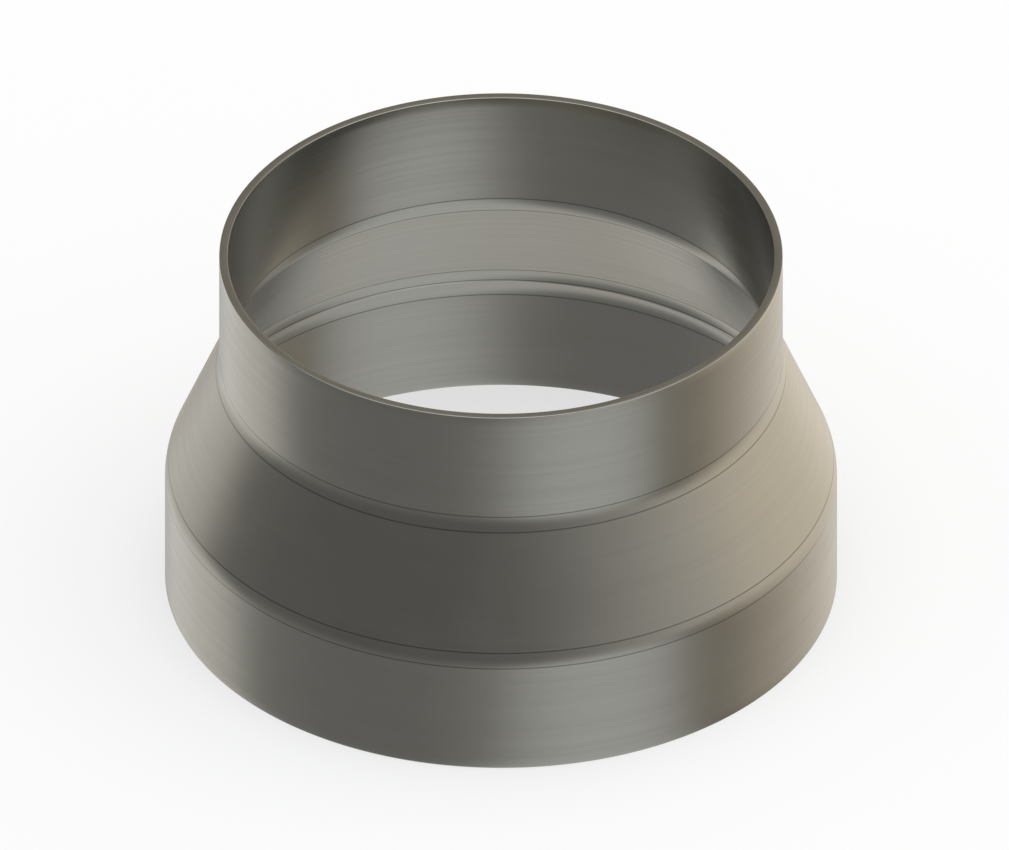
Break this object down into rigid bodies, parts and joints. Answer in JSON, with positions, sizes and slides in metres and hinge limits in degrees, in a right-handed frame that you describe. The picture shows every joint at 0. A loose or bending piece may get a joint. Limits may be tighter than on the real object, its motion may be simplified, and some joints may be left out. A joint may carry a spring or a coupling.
{
  "type": "duct reducer",
  "caption": "Round duct reducer: a large collar and a small collar joined by a short cone, in one thin-walled shell with rounded bends and an inside duct stop.",
  "frame": {"origin": "centre of the large end's rim, in the plane that the reducer stands on", "axes": "+Z along the duct's axis, from the large end to the small end; the part is round, so +X and +Y are any two directions square to it"},
  "size_m": [0.155, 0.155, 0.09],
  "materials": {
    "satin_steel": "satin steel, smooth, with faint turning lines round the axis"
  },
  "bodies": {
    "root": {"reducer_shell": "satin_steel"}
  },
  "joints": []
}
